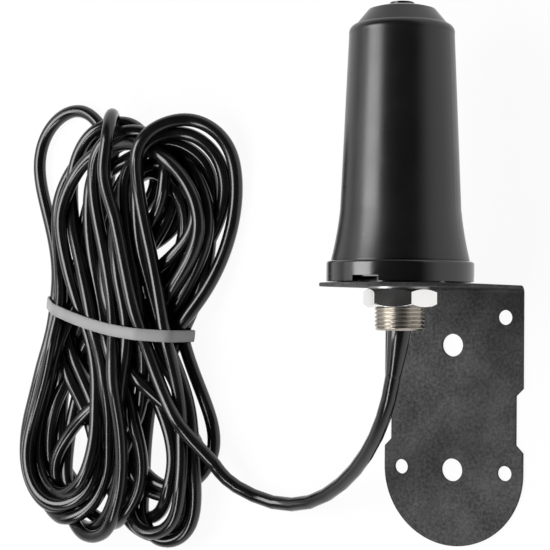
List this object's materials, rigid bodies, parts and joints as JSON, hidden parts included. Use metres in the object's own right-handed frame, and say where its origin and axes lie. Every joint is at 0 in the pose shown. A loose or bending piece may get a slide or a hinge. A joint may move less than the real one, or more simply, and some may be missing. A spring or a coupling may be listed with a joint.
{
  "type": "omnidirectional antenna",
  "caption": "Black tapered omnidirectional antenna on a steel L-bracket, with a nut and stud below it and its coax tied in a hank.",
  "frame": {"origin": "centre of the four screw holes, on the back face of the bracket's plate", "axes": "+X across the plate, +Y along the antenna towards its top, +Z out of the plate; the part lies on the plate's back face"},
  "size_m": [0.2229, 0.1993, 0.0684],
  "materials": {
    "radome_black": "satin black moulded plastic",
    "base_black": "satin black moulded plastic",
    "seal_rubber": "black rubber",
    "foam_rubber": "closed-cell black rubber",
    "boot_rubber": "smooth black rubber",
    "zinc": "zinc plate",
    "black_zinc": "black zinc plate",
    "nickel": "bright nickel plate",
    "powder_coat": "fine-texture black powder coat",
    "cable_jacket": "glossy black vinyl",
    "tie_grey": "pale grey flat tie",
    "tinned_copper": "tinned",
    "bare_copper": "bare copper",
    "dielectric": "natural white",
    "board": "green solder mask",
    "foam": "white foam",
    "shrink_sleeve": "black shrink sleeve",
    "plug_nickel": "nickel plate",
    "plug_gold": "gold plate",
    "plug_gasket_red": "red silicone"
  },
  "bodies": {
    "antenna": {"radome": "radome_black", "base_cup": "base_black", "base_seal": "seal_rubber", "base_screws": "black_zinc", "base_gasket": "foam_rubber", "threaded_stud": "nickel", "bracket": "powder_coat", "stud_bush": "seal_rubber", "cable_boot": "boot_rubber", "feed_coax": "cable_jacket", "feed_braid": "tinned_copper", "feed_dielectric": "dielectric", "feed_core": "bare_copper", "radiator_board": "board", "upper_arm": "bare_copper", "lower_arm": "bare_copper", "top_foam": "foam", "cable_lead": "cable_jacket", "cable_hank": "cable_jacket", "hank_tie": "tie_grey", "plug_sleeve": "shrink_sleeve", "plug_ferrule": "plug_nickel", "plug_body": "plug_gold", "plug_ring": "plug_gold", "plug_gasket": "plug_gasket_red", "plug_insulator": "dielectric", "plug_pin": "plug_gold"},
    "washer": {"lock_washer": "zinc"},
    "nut": {"mounting_nut": "nickel"},
    "coupling": {"plug_nut": "plug_nickel"}
  },
  "joints": [
    {"name": "washer_slide", "type": "slide", "parent": "antenna", "child": "washer", "axis": [0, -1, 0], "range_m": [0, 0.0067]},
    {"name": "nut_turn", "type": "hinge", "parent": "washer", "child": "nut", "pos_m": [0, 0.0332, 0.0416], "axis": [0, -1, 0], "range_deg": [0, 1800]},
    {"name": "coupling_turn", "type": "hinge", "parent": "antenna", "child": "coupling", "pos_m": [-0.13447, 0.05595, 0.00512], "axis": [0.1115, 0.9938, 0], "continuous": true}
  ],
  "couplings": [
    {"joint": "washer_slide", "follows": "nut_turn", "m_per_rad": 0.00021279}
  ]
}
